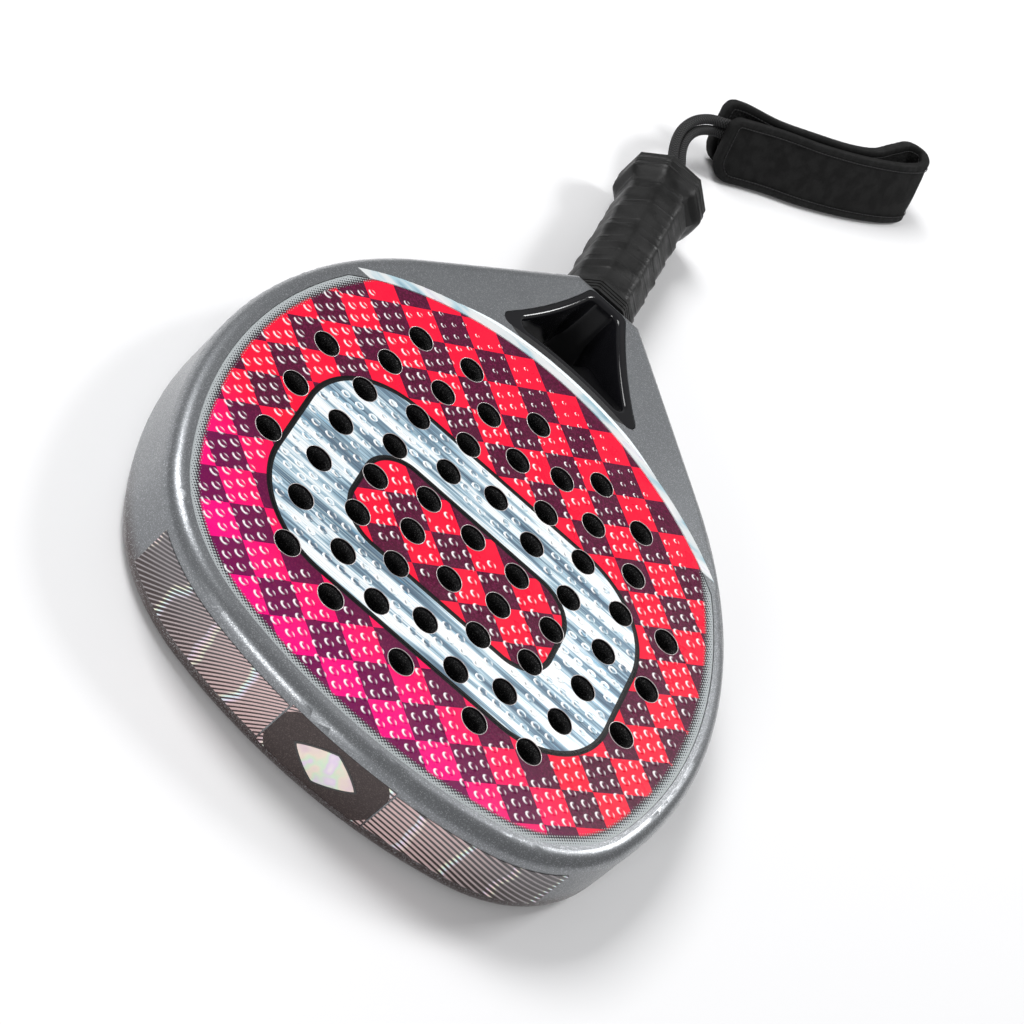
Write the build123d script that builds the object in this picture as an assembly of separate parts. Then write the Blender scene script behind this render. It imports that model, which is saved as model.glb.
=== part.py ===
"""Padel racket with a perforated foam head, a hollow composite frame and a wrist loop.

The racket lies on its rear face. +Y runs from the tip of the head to the butt,
+Z is up from the rear face to the front face, and +X is to the right when the
handle points away. The origin is the middle of the racket's footprint.
Every length is in millimetres.
"""
from build123d import *
from math import atan2, cos, hypot, pi, radians, sin, sqrt, tan
import os

# ---------------------------------------------------------------- driving sizes
total_length = 455.0            # tip of the head to the end of the butt
head_width = 260.0              # widest place of the head
thickness = 38.0                # rear rim to front rim
side_radius = 200.0             # long arcs of the two sides
tip_radius = 228.0              # flat arc of the tip
corner_radius = 78.0            # arcs between the tip and the sides
widest_from_tip = 127.5         # the widest place, measured from the tip
shoulder_angle = 41.5           # straight shoulders, measured from the +Y axis
edge_round = 6.5                # rounding of the frame's front and rear edges
rim_width = 8.4                 # frame seen on the face, outside the sheets
channel_wall = 3.0              # outer wall of the frame, behind the foam
channel_lip = 3.2               # front and rear lips that hold the foam

sheet_thickness = 1.2           # composite face sheets
sheet_recess = 0.4              # how far the sheets lie below the rims
foil_thickness = 0.15           # printed holographic foils
seat_gap = 0.15                 # bonded seats, filled by glue

hole_radius = 6.0               # drilled holes of the head
pattern_from_tip = 137.5        # middle of the hole pattern, from the tip

bridge_radius = 141.0           # arc of the bridge, on the face side
bridge_width = 10.3             # bridge between the face and the throat
bridge_from_tip = 256.5         # crown of the bridge on the face side
bridge_reach = 30.0             # half length of the bridge between the two arms
band_width = 4.5                # silver band that lies along the bridge
band_depth = 0.4                # groove that the band is laid in
band_end_from_tip = 221.5       # square ends of the band

throat_corner = 42.8            # half width of the throat opening at the bridge
throat_length = 58.0            # throat opening, along the racket
throat_apex = 10.0              # half width of the opening near the grip
throat_bow = 3.0                # how far the throat's sides bow inwards
throat_round = 4.0              # rounded corners of the throat at the bridge
throat_crown_round = 5.0        # rounded corners of the throat near the grip
liner_wall = 4.2                # black moulding around the throat
liner_round = 2.0               # rounding of the moulding's edges

spine_width = 17.0              # moulded spine inside the handle, across
spine_thickness = 16.0          # moulded spine, front to rear
spine_round = 3.5               # rounding of the spine's edges
spine_root = 3.0                # how far the spine reaches into the shoulders
grip_width = 33.0               # octagonal handle over the grip, across
grip_thickness = 31.0           # octagonal handle over the grip, front to rear
grip_chamfer = 0.29             # corner cuts as a share of the sides
grip_layer = 1.9                # cushioned base grip
overgrip_layer = 0.7            # thin tacky outer wrap
grip_start_from_butt = 126.0    # where the grip begins
collar_length = 9.0             # rubber ring that covers the start of the grip
collar_proud = 2.0              # how far the ring stands out from the grip
flare_width = 41.0              # flared butt, across
flare_thickness = 36.0          # flared butt, front to rear
flare_length = 23.0             # flared butt, along the handle
flare_taper = 9.0               # sloping start of the flare
butt_plate = 4.0                # solid end of the butt cap

cord_diameter = 5.0             # braided wrist cord
cord_spacing = 5.3              # between the middles of the two strands
mouth_gap = 0.5                 # room around the cord in the butt's mouth
knot_radius = 5.4               # knot that holds the cord in the handle
flex_outside = 10.0             # cord outside the mouth that bends by itself
flex_inside = 5.5               # cord inside the mouth that bends by itself

strap_width = 33.0              # padded wrist strap, edge to edge
strap_lean = 29.0               # strap leans back from upright
strap_layer = 2.0               # cover and lining, each
strap_layer_gap = 0.3           # between the cover and the lining
binding_width = 4.2             # bound edges of the strap
binding_proud = 0.35            # binding stands out from the cover
tab_start = 0.018               # sewn end tab, as shares of the band's length
tab_end = 0.075
tab_margin = 3.0                # tab's edges inside the bound edges

film_thickness = 0.25           # decorative film on the side wall
film_height = 22.0              # film, across the side wall
film_lift = 0.02                # glue under the film
film_start = 6.6                # near ends of the film, in degrees from the tip
film_end = 27.0                 # far ends of the film, in degrees from the tip
plate_end = 6.4                 # ends of the dark plate at the tip, in degrees
plate_height = 25.0             # plate, across the side wall
plate_thickness = 0.6

# ---------------------------------------------------------------- worked out
tip_y = -total_length / 2
butt_y = total_length / 2
mid_z = thickness / 2
side_centre = (head_width / 2 - side_radius, tip_y + widest_from_tip)
tip_centre = (0.0, tip_y + tip_radius)
pattern_y = tip_y + pattern_from_tip
bridge_centre_y = tip_y + bridge_from_tip - bridge_radius
throat_radius = bridge_radius + bridge_width
throat_y = bridge_centre_y + throat_radius
grip_start = butt_y - grip_start_from_butt
flare_start = butt_y - flare_length

parts = {}


def keep(name, solid):
    """Store one sub-part under its node name."""
    parts[name] = solid


def corner_centre():
    """Centre of the corner arc, tangent inside both the tip and the side arcs."""
    reach_tip = tip_radius - corner_radius
    reach_side = side_radius - corner_radius
    dx = side_centre[0] - tip_centre[0]
    dy = side_centre[1] - tip_centre[1]
    span = hypot(dx, dy)
    along = (reach_tip**2 - reach_side**2 + span**2) / (2 * span)
    across = sqrt(reach_tip**2 - along**2)
    ux, uy = dx / span, dy / span
    return (tip_centre[0] + along * ux - across * uy,
            tip_centre[1] + along * uy + across * ux)


def on_circle(centre, radius, angle):
    """Point on a circle, at an angle in radians."""
    return (centre[0] + radius * cos(angle), centre[1] + radius * sin(angle))


def heading(start, end):
    """Angle of the way from one point to another, in radians."""
    return atan2(end[1] - start[1], end[0] - start[0])


def arc_between(centre, radius, first, last):
    """Arc of a circle between two angles, through the angle halfway."""
    return ThreePointArc(
        on_circle(centre, radius, first),
        on_circle(centre, radius, (first + last) / 2),
        on_circle(centre, radius, last),
    )


def head_joints():
    """Angles where the tip, corner and side arcs meet, and the shoulder's start."""
    corner = corner_centre()
    tip_to_corner = heading(tip_centre, corner)
    side_to_corner = heading(side_centre, corner)
    return corner, tip_to_corner, side_to_corner, radians(shoulder_angle)


def right_half(inset, end_y):
    """Edges of the right half of the outline, moved in by inset, tip to neck."""
    corner, at_tip, at_side, at_shoulder = head_joints()
    tip_arc = arc_between(tip_centre, tip_radius - inset, -pi / 2, at_tip)
    corner_arc = arc_between(corner, corner_radius - inset, at_tip, at_side)
    side_arc = arc_between(side_centre, side_radius - inset, at_side, at_shoulder)
    start = on_circle(side_centre, side_radius - inset, at_shoulder)
    shoulder_end = (start[0] - (end_y - start[1]) * tan(at_shoulder), end_y)
    return [tip_arc, corner_arc, side_arc, Line(start, shoulder_end)]


def outline_face(inset, end_y=None):
    """Whole outline of the racket as a face, moved in by inset."""
    end_y = grip_start if end_y is None else end_y
    right = Curve() + right_half(inset, end_y)
    left = mirror(right, about=Plane.YZ)
    neck = right_half(inset, end_y)[-1] @ 1
    close = Line((-neck.X, end_y), (neck.X, end_y))
    return make_face([*right.edges(), *left.edges(), close])


def slab(face, low, high):
    """Extrude a face on the XY plane between two heights."""
    return Pos(0, 0, low) * extrude(face, high - low)


def bridge_disc(radius):
    """Disc whose edge is an arc along the bridge."""
    return Pos(0, bridge_centre_y) * Circle(radius)


def head_face(inset, radius):
    """Part of the outline on the tip side of an arc along the bridge."""
    lower = Pos(0, bridge_centre_y - head_width) * Rectangle(2 * head_width, 2 * head_width)
    return outline_face(inset, grip_start - 20) & (bridge_disc(radius) + lower)


def hole_places():
    """Centres of the drilled holes, given for one quarter and mirrored.

    Columns stand side by side and bow outwards towards the middle row.
    """
    quarter = [
        (0, 0), (0, 29.2), (0, 57.7), (0, 85.6),
        (23.4, 0), (22.4, 21.7), (21.2, 43.6), (20.2, 68.1),
        (46.5, 11.3), (44.9, 35.4), (41.5, 58.8), (36.3, 83.5),
        (69.9, 0), (69.1, 26.0), (66.8, 50.7), (61.3, 76.4),
        (93.3, 0), (92.1, 32.1),
    ]
    places = set()
    for x, y in quarter:
        for side in (1, -1):
            for end in (1, -1):
                places.add((side * x, pattern_y + end * y))
    return sorted(places)


def hole_pins(radius, low, high):
    """Pins that stand in all the drilled holes."""
    pin = Cylinder(radius, high - low, align=(Align.CENTER, Align.CENTER, Align.MIN))
    return [Pos(x, y, low) * pin for x, y in hole_places()]


def drilled(solid, low, high, radius=hole_radius):
    """Solid with the hole pattern drilled through it."""
    return solid - hole_pins(radius, low - 1, high + 1)


# ---------------------------------------------------------------- throat
def throat_side():
    """Centre and radius of the arc that bounds the throat on the right."""
    corner_angle = atan2(sqrt(throat_radius**2 - throat_corner**2), throat_corner)
    corner = on_circle((0, bridge_centre_y), throat_radius, corner_angle)
    apex = (throat_apex, throat_y + throat_length)
    chord = hypot(apex[0] - corner[0], apex[1] - corner[1])
    radius = (chord**2 / 4 + throat_bow**2) / (2 * throat_bow)
    out_x, out_y = (apex[1] - corner[1]) / chord, (corner[0] - apex[0]) / chord
    reach = radius - throat_bow
    middle = ((corner[0] + apex[0]) / 2, (corner[1] + apex[1]) / 2)
    return (middle[0] + reach * out_x, middle[1] + reach * out_y), radius


def throat_face(inset=0.0):
    """Throat opening, moved in by inset: an arc along the bridge and two bowed sides."""
    centre, radius = throat_side()
    crown = throat_y + throat_length - inset
    window = Pos(0, crown) * Rectangle(2 * throat_corner, 2 * throat_length,
                                       align=(Align.CENTER, Align.MAX))
    face = window - bridge_disc(throat_radius + inset)
    for side in (1, -1):
        face -= Pos(side * centre[0], centre[1]) * Circle(radius + inset)
    middle_y = throat_y + throat_length / 2
    face = max(face.faces(), key=lambda piece: piece.center().Y)
    face = fillet([v for v in face.vertices() if v.Y > middle_y], throat_crown_round)
    return fillet([v for v in face.vertices() if v.Y < middle_y], throat_round)


def throat_liner():
    """Black moulding that lines the throat and shows as a lip on both faces."""
    ring = throat_face(seat_gap) - throat_face(liner_wall)
    ring = slab(ring, sheet_recess, thickness - sheet_recess)
    reach = throat_face(liner_wall / 2)
    mouth = [edge for edge in ring.edges() if is_level(edge) and over(edge, reach.face())]
    return fillet(mouth, liner_round)


def over(edge, face):
    """True if the middle of an edge lies above or below a level face."""
    middle = edge @ 0.5
    return face.is_inside(Vector(middle.X, middle.Y, 0))


# ---------------------------------------------------------------- frame
def frame_body():
    """Composite frame: a C-shaped tube around the head, two shoulders and a spine."""
    body = slab(outline_face(0), 0, thickness)
    body = fillet([edge for edge in body.edges() if is_level(edge)], edge_round)
    body -= slab(head_face(rim_width, bridge_radius), -1, thickness + 1)
    body -= slab(head_face(channel_wall, bridge_radius), channel_lip, thickness - channel_lip)
    body -= slab(throat_face(), -1, thickness + 1)
    body -= slab(bridge_zone(), -1, thickness + 1)
    body -= band_slabs(seat_gap)
    body -= tip_room()
    return body + spine()


def is_level(edge):
    """True for an edge that lies level, all at one height."""
    box = edge.bounding_box()
    return box.max.Z - box.min.Z < 0.01


def spine():
    """Hollow spine that carries the handle, with a room for the cord's knot."""
    length = butt_y - butt_plate - grip_start + spine_root - seat_gap
    bar = Box(spine_width, length, spine_thickness, align=(Align.CENTER, Align.MIN, Align.CENTER))
    bar = fillet(bar.edges().filter_by(Axis.Y), spine_round)
    room = Box(knot_room(), length, knot_room(), align=(Align.CENTER, Align.MIN, Align.CENTER))
    bar -= Pos(0, 2 * spine_root, 0) * room
    return Pos(0, grip_start - spine_root, mid_z) * bar


def knot_room():
    """Inner size of the spine."""
    return 2 * knot_radius + 2 * mouth_gap


def bridge_zone():
    """Strip between the head and the throat that the bridge piece fills."""
    strip = bridge_disc(throat_radius) - bridge_disc(bridge_radius)
    window = Pos(0, throat_y) * Rectangle(2 * bridge_reach, 2 * throat_length)
    return strip & window


def throat_bridge():
    """Bridge between the shoulders, with a groove for the silver band."""
    strip = bridge_zone()
    body = slab(strip, 0, thickness)
    return body - band_slabs(seat_gap)


def band_face(margin):
    """Silver band along the bridge, from side to side inside the rim."""
    ring = bridge_disc(bridge_radius + band_width + margin) - bridge_disc(bridge_radius)
    window = Pos(0, tip_y + band_end_from_tip) * Rectangle(
        2 * head_width, 2 * head_width, align=(Align.CENTER, Align.MIN))
    return ring & window


def band_slabs(margin):
    """Room for the band on the front and the rear."""
    face = band_face(margin)
    front = slab(face, thickness - band_depth, thickness + 1)
    rear = slab(face, -1, band_depth)
    return front + rear


# ---------------------------------------------------------------- head filling
def foam_core():
    """Soft foam of the head, held in the frame's channel and drilled."""
    low = sheet_recess + sheet_thickness
    high = thickness - low
    middle = slab(head_face(channel_wall + seat_gap, bridge_radius - seat_gap),
                  channel_lip + seat_gap, thickness - channel_lip - seat_gap)
    face = slab(head_face(rim_width + seat_gap, bridge_radius - seat_gap), low, high)
    return drilled(middle + face, low, high)


def face_sheet(low):
    """Composite sheet of one face, drilled."""
    face = head_face(rim_width + seat_gap, bridge_radius - seat_gap)
    return drilled(slab(face, low, low + sheet_thickness), low, low + sheet_thickness)


def emblem_face():
    """Plain closed ring: a long octagon with rounded corners, hollow in the middle."""
    outer = RectangleRounded(171, 116, 40)
    inner = RectangleRounded(103, 52, 18)
    ring = outer - inner
    return Pos(0, pattern_y - 18) * ring


def emblem_foil(low):
    """Holographic foil of the ring, cut by the drilled holes."""
    ring = slab(emblem_face(), low, low + foil_thickness)
    return drilled(ring, low, low + foil_thickness)


def side_strip(start, end, height, proud, depth):
    """Strip around the side wall between two angles of the tip's arc.

    It reaches from depth inside the outline to proud outside it.
    """
    ring = outline_face(-proud) - outline_face(depth)
    reach = 2 * head_width
    fan = make_face(Polyline(tip_centre,
                             on_circle(tip_centre, reach, radians(-90 + start)),
                             on_circle(tip_centre, reach, radians(-90 + end)),
                             tip_centre))
    return slab(ring & fan, mid_z - height / 2, mid_z + height / 2)


def side_film(start, end):
    """Decorative film on the side wall."""
    return side_strip(start, end, film_height, film_thickness, -film_lift)


def tip_plate():
    """Dark plate let into the tip."""
    return side_strip(-plate_end, plate_end, plate_height, 0, plate_thickness)


def tip_room():
    """Shallow pocket for the tip plate."""
    reach = plate_end + 0.05
    return side_strip(-reach, reach, plate_height + 2 * seat_gap, 1, plate_thickness + seat_gap)


# ---------------------------------------------------------------- handle
def octagon(width, height):
    """Octagon across the handle, with its corners cut alike."""
    cut_x = width * grip_chamfer
    cut_z = height * grip_chamfer
    x, z = width / 2, height / 2
    points = [(x, z - cut_z), (x - cut_x, z), (cut_x - x, z), (-x, z - cut_z),
              (-x, cut_z - z), (cut_x - x, -z), (x - cut_x, -z), (x, cut_z - z)]
    return make_face(Polyline(*points, close=True))


def across(y):
    """Plane across the handle at a place along +Y, looking along +Y."""
    return Plane(origin=(0, y, mid_z), x_dir=(1, 0, 0), z_dir=(0, 1, 0))


def prism(width, height, start, end):
    """Octagonal prism along the handle."""
    return extrude(across(start) * octagon(width, height), end - start)


def sleeve(outer, wall, start, end):
    """Octagonal sleeve; outer gives its width and height over all."""
    body = prism(outer[0], outer[1], start, end)
    return body - prism(outer[0] - 2 * wall, outer[1] - 2 * wall, start - 1, end + 1)


def shell_size():
    """Outside of the handle shells, under the base grip and the overgrip."""
    taken = 2 * (grip_layer + overgrip_layer + 2 * seat_gap)
    return (grip_width - taken, grip_thickness - taken)


def handle_shell(side):
    """Half of the foam handle, in front of or behind the spine."""
    width, height = shell_size()
    body = prism(width, height, grip_start + seat_gap, flare_start - seat_gap)
    spine_room = Box(spine_width + 2 * seat_gap, total_length, spine_thickness + 2 * seat_gap)
    body -= Pos(0, grip_start, mid_z) * spine_room
    half = Box(2 * width, total_length, height, align=(Align.CENTER, Align.CENTER, Align.MIN))
    half = Pos(0, grip_start, seat_gap / 2) * half
    if side < 0:
        half = mirror(half, about=Plane.XY)
    return body & (Pos(0, 0, mid_z) * half)


def base_grip():
    """Cushioned sleeve around the handle shells."""
    inner = (shell_size()[0] + 2 * (grip_layer + seat_gap),
             shell_size()[1] + 2 * (grip_layer + seat_gap))
    return sleeve(inner, grip_layer, grip_start + seat_gap, flare_start - seat_gap)


def overgrip():
    """Thin outer wrap, from the collar to the flare."""
    return sleeve((grip_width, grip_thickness), overgrip_layer,
                  grip_start + seat_gap, flare_start - seat_gap)


def collar():
    """Ribbed rubber ring at the start of the grip."""
    width = grip_width + 2 * collar_proud
    height = grip_thickness + 2 * collar_proud
    start = grip_start + seat_gap
    ring = prism(width, height, start, start + collar_length)
    ring = fillet(ring.edges().filter_by(Axis.Y), 3)
    ribs = []
    for step in range(1, 4):
        y = start + step * collar_length / 4
        groove = prism(width + 2, height + 2, y - 0.35, y + 0.35)
        ribs.append(groove - prism(width - 1, height - 1, y - 1, y + 1))
    ring -= ribs
    return ring - prism(grip_width + 2 * seat_gap, grip_thickness + 2 * seat_gap,
                        start - 1, start + collar_length + 1)


def butt_cap():
    """Flared cap over the end of the handle, with the cord's mouth."""
    start = flare_start
    first = across(start) * octagon(grip_width, grip_thickness)
    wide = across(start + flare_taper) * octagon(flare_width, flare_thickness)
    taper = loft([first, wide])
    cap = taper + prism(flare_width, flare_thickness, start + flare_taper, butt_y)
    end_edges = cap.faces().sort_by(Axis.Y)[-1].edges()
    cap = fillet(end_edges, 2.5)
    room = Box(spine_width + 2 * seat_gap, 2 * flare_length, spine_thickness + 2 * seat_gap,
               align=(Align.CENTER, Align.MAX, Align.CENTER))
    cap -= Pos(0, butt_y - butt_plate, mid_z) * room
    mouth = across(butt_y - 2 * butt_plate) * mouth_face()
    return cap - extrude(mouth, 3 * butt_plate)


def mouth_face():
    """Slot for the two strands."""
    height = cord_diameter + 2 * mouth_gap
    return SlotOverall(cord_spacing + height, height)


# ---------------------------------------------------------------- wrist cord
lean = tan(radians(strap_lean))
strap_back = Vector(-0.62, 0.78, 0).normalized()
strap_up = (strap_back * lean + Vector(0, 0, 1)).normalized()
flex_end = butt_y + flex_outside
flex_start = butt_y - flex_inside

# Middle line of the two strands, from the mouth to the strap.
cord_route = [
    (0.0, flex_end, mid_z),
    (0.0, butt_y + 20.5, mid_z),
    (-4.2, butt_y + 33.0, mid_z),
    (-5.8, butt_y + 46.5, mid_z),
    (-3.2, butt_y + 60.0, mid_z),
    (2.6, butt_y + 70.5, mid_z),
    (9.4, butt_y + 75.9, mid_z),
    (13.4, butt_y + 79.4, mid_z),
]


def strand_route(side):
    """Route of one strand: beside the other at the mouth, above or below it at the strap."""
    moved = []
    last = len(cord_route) - 1
    for index, point in enumerate(cord_route):
        before = cord_route[max(index - 1, 0)]
        after = cord_route[min(index + 1, last)]
        way = Vector(after[0] - before[0], after[1] - before[1], 0).normalized()
        if index <= 1:
            way = Vector(0, 1, 0)
        share = min(max(index - 1, 0) / (last - 2), 1)
        turn = (pi / 2 - radians(strap_lean)) * share
        shift = Vector(way.Y, -way.X, 0) * cos(turn) - Vector(0, 0, 1) * sin(turn)
        moved.append(Vector(*point) + shift * (side * cord_spacing / 2))
    return moved


def corner_radii(points):
    """Largest radius at each corner: 0.45 of the shorter run over tan(half the turn)."""
    radii = []
    for before, here, after in zip(points, points[1:], points[2:]):
        turn = (here - before).get_angle(after - here)
        shorter = min((here - before).length, (after - here).length)
        radii.append(0.45 * shorter / tan(radians(turn) / 2))
    return radii


def tube(points, radii):
    """Round tube along straight runs joined by tangent arcs."""
    path = FilletPolyline(*points, radius=radii)
    start = Plane(origin=points[0], z_dir=points[1] - points[0])
    return sweep(start * Circle(cord_diameter / 2), path=path), path.length


def strand(name, side):
    """One free strand of the cord, from the flexing piece to the strap."""
    points = strand_route(side)
    radii = corner_radii(points)
    body, length = tube(points, radii)
    section = pi * cord_diameter**2 / 4
    print(name, "length", round(length, 1), "volume share", round(body.volume / section / length, 4))
    print("  radii", [round(r, 1) for r in radii])
    keep(name, body)


def two_rods(start, end):
    """Two straight strands side by side, along the handle's axis."""
    rod = extrude(across(start) * Circle(cord_diameter / 2), end - start)
    return [Pos(side * cord_spacing / 2, 0, 0) * rod for side in (1, -1)]


def cord_knot():
    """Knot that stops the cord inside the handle."""
    middle = flex_start - 16
    ball = Sphere(knot_radius)
    waist = Pos(0, 4, 0) * Sphere(knot_radius * 0.85)
    return Pos(0, middle, mid_z) * (ball + waist)


# ---------------------------------------------------------------- wrist strap
band_half = strap_layer + strap_layer_gap / 2

# Middle line of the folded band where it meets the ground, near layer first.
strap_route = [
    (19.5, butt_y + 63.5),
    (44.5, butt_y + 85.0),
    (68.0, butt_y + 102.5),
    (92.5, butt_y + 124.5),
    (112.5, butt_y + 147.0),
    (118.5, butt_y + 158.5),
    (115.5, butt_y + 165.5),
    (107.5, butt_y + 163.0),
    (100.0, butt_y + 150.0),
    (92.0, butt_y + 134.0),
    (80.0, butt_y + 120.5),
    (60.0, butt_y + 104.0),
    (40.6, butt_y + 89.6),
    (21.4, butt_y + 79.8),
    (12.2, butt_y + 72.0),
]


def strap_line():
    """Smooth middle line of the folded band."""
    return Spline(*[Vector(x, y, 0) for x, y in strap_route])


def band_profile(low, high, first=0.0, last=1.0):
    """Face between two offsets of the band's middle line, positive outside the fold."""
    line = strap_line()
    count = 36
    steps = [first + (last - first) * i / count for i in range(count + 1)]
    outer = [beside(line, u, high) for u in steps]
    inner = [beside(line, u, low) for u in steps]
    sides = [Spline(*outer), Spline(*inner)]
    ends = [Line(outer[0], inner[0]), Line(outer[-1], inner[-1])]
    return make_face([*sides, *ends])


def beside(line, u, distance):
    """Point beside the middle line, to its right."""
    way = line.tangent_at(u)
    return line.position_at(u) + Vector(way.Y, -way.X, 0) * distance


def leaning(face, low, high):
    """Extrude a ground face between two distances along the strap's width."""
    up = cos(radians(strap_lean))
    shift = strap_back * (lean * low * up)
    base = Pos(shift.X, shift.Y, low * up) * face
    return extrude(base, high - low, dir=strap_up)


def strap_layer_solid(low, high):
    """One layer of the band between its bound edges."""
    inset = binding_width + 0.1
    return leaning(band_profile(low, high), inset, strap_width - inset)


def strap_binding(bottom):
    """Bound edge, wrapped over the cover and the lining."""
    reach = band_half + binding_proud
    face = band_profile(-reach, reach)
    return leaning(face, bottom, bottom + binding_width)


def strap_end_tab():
    """Sewn tab between the two ends of the band, which holds the two strands."""
    line = strap_line()
    gap = band_half + 4 * seat_gap
    near, near_in = beside(line, tab_start, -gap), beside(line, tab_end, -gap)
    far, far_in = beside(line, 1 - tab_start, -gap), beside(line, 1 - tab_end, -gap)
    face = make_face(Polyline(near, near_in, far_in, far, close=True))
    inset = binding_width + tab_margin
    return leaning(face, inset, strap_width - inset)


def build_racket():
    """Make the frame, the head's filling and the trim."""
    front_low = thickness - sheet_recess - sheet_thickness
    keep("frame", frame_body())
    keep("throat_bridge", throat_bridge())
    keep("throat_liner", throat_liner())
    keep("foam_core", foam_core())
    keep("front_face_sheet", face_sheet(front_low))
    keep("rear_face_sheet", face_sheet(sheet_recess))
    keep("front_emblem_foil", emblem_foil(front_low + sheet_thickness))
    keep("rear_emblem_foil", emblem_foil(sheet_recess - foil_thickness))
    keep("front_bridge_band", slab(band_face(0), thickness - band_depth, thickness))
    keep("rear_bridge_band", slab(band_face(0), 0, band_depth))
    keep("left_side_film", side_film(-film_end, -film_start))
    keep("right_side_film", side_film(film_start, film_end))
    keep("tip_plate", tip_plate())


def build_handle():
    """Make the handle from the shells outwards, and its ends."""
    keep("front_handle_shell", handle_shell(1))
    keep("rear_handle_shell", handle_shell(-1))
    keep("base_grip", base_grip())
    keep("overgrip", overgrip())
    keep("grip_collar", collar())
    keep("butt_cap", butt_cap())


def build_wrist_loop():
    """Make the cord, from its knot outwards, and the strap."""
    knot = cord_knot()
    keep("cord_knot", knot)
    knot_end = knot.bounding_box().max.Y
    keep("cord_in_handle", two_rods(knot_end, flex_start))
    keep("cord_at_mouth", two_rods(flex_start, flex_end))
    strand("cord_strand_right", 1)
    strand("cord_strand_left", -1)
    keep("strap_end_tab", strap_end_tab())
    keep("strap_cover", strap_layer_solid(strap_layer_gap / 2, band_half))
    keep("strap_lining", strap_layer_solid(-band_half, -strap_layer_gap / 2))
    keep("strap_lower_binding", strap_binding(0))
    keep("strap_upper_binding", strap_binding(strap_width - binding_width))


def build():
    """Make every sub-part."""
    build_racket()
    build_handle()
    build_wrist_loop()


if __name__ == "__main__":
    build()
    os.makedirs("parts", exist_ok=True)
    for node, body in parts.items():
        if isinstance(body, (list, ShapeList)):
            body = Compound(children=list(body))
        export_step(body, f"parts/{node}.step")
        print(node, round(body.volume, 1))
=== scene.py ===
# %% [markdown]
# # A padel racket with a wrist loop
# The racket lies on its rear face. The loaded frame holds every rigid piece at its true place,
# in metres. The cells below dress those pieces, then build the marks, wraps, cords and strap.

# %% Load the frame
import bpy
import numpy as np
from mathutils import Matrix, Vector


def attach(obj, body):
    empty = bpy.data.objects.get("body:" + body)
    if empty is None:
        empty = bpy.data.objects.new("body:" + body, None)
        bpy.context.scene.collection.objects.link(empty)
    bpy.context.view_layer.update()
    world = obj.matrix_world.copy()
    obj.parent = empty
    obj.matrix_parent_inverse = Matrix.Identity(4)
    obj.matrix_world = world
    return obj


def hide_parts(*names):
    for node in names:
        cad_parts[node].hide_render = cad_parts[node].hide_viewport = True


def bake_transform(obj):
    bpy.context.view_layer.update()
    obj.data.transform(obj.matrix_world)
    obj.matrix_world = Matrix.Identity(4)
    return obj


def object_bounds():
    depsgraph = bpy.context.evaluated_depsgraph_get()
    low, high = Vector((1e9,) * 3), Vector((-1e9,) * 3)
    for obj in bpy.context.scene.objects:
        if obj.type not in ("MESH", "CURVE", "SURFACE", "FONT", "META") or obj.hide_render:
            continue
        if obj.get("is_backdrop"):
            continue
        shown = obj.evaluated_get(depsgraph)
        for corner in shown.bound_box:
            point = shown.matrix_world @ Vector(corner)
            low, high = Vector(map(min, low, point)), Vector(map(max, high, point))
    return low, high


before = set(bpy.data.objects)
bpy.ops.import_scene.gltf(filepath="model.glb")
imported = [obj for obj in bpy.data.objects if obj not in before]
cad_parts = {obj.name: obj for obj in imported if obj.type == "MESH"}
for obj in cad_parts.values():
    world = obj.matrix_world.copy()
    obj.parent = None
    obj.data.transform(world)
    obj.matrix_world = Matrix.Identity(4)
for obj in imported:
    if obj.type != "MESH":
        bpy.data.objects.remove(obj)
cad_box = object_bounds()
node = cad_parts
MM = 0.001
print("pieces in the frame:", len(node), "box:", cad_box)

# %% [markdown]
# The camera looks down the racket from beyond its tip, rolled so that the handle points to the
# upper right. A long lens flattens the view. A matrix states the three directions outright,
# which is safer than three angles when the camera is rolled.

# %% Camera
def add_object(name, data):
    """A new object in the scene that holds this data."""
    made = bpy.data.objects.new(name, data)
    bpy.context.scene.collection.objects.link(made)
    return made


def turned(place, right, up, back):
    """A matrix from a place and three directions."""
    rows = [(*row, shift) for row, shift in zip(zip(right, up, back), place)]
    return Matrix(rows + [(0, 0, 0, 1)])


lens_data = bpy.data.cameras.new("studio_camera")
lens_data.lens = 124.8
lens_data.sensor_width = 36
lens_data.clip_start = 0.05
camera = add_object("studio_camera", lens_data)
place = (-0.2172, -1.1790, 0.8999)
right, up, back = (0.7419, 0.3090, 0.5950), (-0.6516, 0.5413, 0.5314), (-0.1579, -0.7820, 0.6030)
camera.matrix_world = turned(place, right, up, back)
bpy.context.scene.camera = camera
print("camera at", place)

# %% [markdown]
# Nearly every new piece is a grid: rows run along the piece, columns run around or across it.
# One helper turns an array of points into a mesh, joining each block of four neighbours.

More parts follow.
